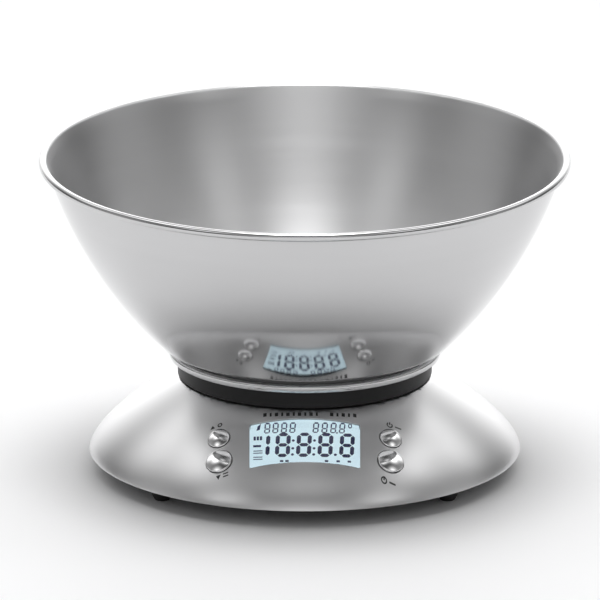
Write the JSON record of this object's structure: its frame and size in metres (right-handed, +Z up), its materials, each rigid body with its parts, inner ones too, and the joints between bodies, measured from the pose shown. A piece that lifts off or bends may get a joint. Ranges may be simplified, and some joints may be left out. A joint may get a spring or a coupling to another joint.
{
  "type": "kitchen scale",
  "caption": "Electronic kitchen scale with a lift-off steel mixing bowl on a round domed steel base with a display window, push buttons and rubber feet.",
  "frame": {"origin": "on the table, under the centre of the round base", "axes": "+Z up along the axis of the bowl and dome; the display and buttons face -Y"},
  "size_m": [0.222, 0.222, 0.1337],
  "materials": {
    "bowl_steel": "brushed",
    "dome_steel": "satin",
    "black_abs": "satin",
    "grey_abs": "matte",
    "button_chrome": "polished",
    "foot_rubber": "matte",
    "lens_acrylic": "clear",
    "display_glass": "gloss",
    "light_guide": "satin",
    "cell_aluminium": "satin",
    "zinc_steel": "zinc plated",
    "board_green": "satin",
    "sealant": "matte",
    "strip_rubber": "matte",
    "battery_jacket": "gloss",
    "wire_pvc": "satin"
  },
  "bodies": {
    "base": {"load_cell": "cell_aluminium", "gauge_sealant": "sealant", "cell_spacer_lower": "zinc_steel", "cell_screws_lower": "zinc_steel", "dome_cover": "dome_steel", "upper_housing": "black_abs", "bottom_tray": "grey_abs", "housing_screws": "zinc_steel", "battery_front": "battery_jacket", "battery_rear": "battery_jacket", "battery_contacts": "zinc_steel", "foot_front_left": "foot_rubber", "foot_front_right": "foot_rubber", "foot_rear_left": "foot_rubber", "foot_rear_right": "foot_rubber", "display_lens": "lens_acrylic", "display_glass": "display_glass", "display_backlight": "light_guide", "display_frame": "light_guide", "contact_strip": "strip_rubber", "main_board": "board_green", "board_chip": "black_abs", "board_screws": "zinc_steel", "key_board_left": "board_green", "key_board_right": "board_green", "key_switches_left": "black_abs", "key_switches_right": "black_abs", "key_board_screws": "zinc_steel", "buzzer": "black_abs", "cell_wires": "wire_pvc", "battery_wires": "wire_pvc"},
    "platform": {"platform_tray": "black_abs", "platform_screws": "zinc_steel", "upper_bracket": "zinc_steel", "cell_spacer_upper": "zinc_steel", "cell_screws_upper": "zinc_steel"},
    "bowl": {"mixing_bowl": "bowl_steel"},
    "battery_door": {"battery_door": "grey_abs"},
    "button_upper_left": {"button_upper_left": "button_chrome"},
    "button_upper_right": {"button_upper_right": "button_chrome"},
    "button_lower_left": {"button_lower_left": "button_chrome"},
    "button_lower_right": {"button_lower_right": "button_chrome"}
  },
  "joints": [
    {"name": "platform_press", "type": "slide", "parent": "base", "child": "platform", "axis": [0, 0, 1], "range_m": [-0.0006, 0], "stiffness_N_per_m": 80000, "deforming": ["load_cell"]},
    {"name": "bowl_lift", "type": "slide", "parent": "platform", "child": "bowl", "axis": [0, 0, 1], "range_m": [0, 0.12]},
    {"name": "battery_door_swing", "type": "hinge", "parent": "base", "child": "battery_door", "pos_m": [0, 0.0538, 0.0067], "axis": [1, 0, 0], "range_deg": [0, 100]},
    {"name": "button_upper_left_press", "type": "slide", "parent": "base", "child": "button_upper_left", "axis": [0.2977, 0.5327, -0.7922], "range_m": [0, 0.0007], "stiffness_N_per_m": 2500},
    {"name": "button_upper_right_press", "type": "slide", "parent": "base", "child": "button_upper_right", "axis": [-0.2977, 0.5327, -0.7922], "range_m": [0, 0.0007], "stiffness_N_per_m": 2500},
    {"name": "button_lower_left_press", "type": "slide", "parent": "base", "child": "button_lower_left", "axis": [0.2977, 0.5327, -0.7922], "range_m": [0, 0.0007], "stiffness_N_per_m": 2500},
    {"name": "button_lower_right_press", "type": "slide", "parent": "base", "child": "button_lower_right", "axis": [-0.2977, 0.5327, -0.7922], "range_m": [0, 0.0007], "stiffness_N_per_m": 2500}
  ]
}
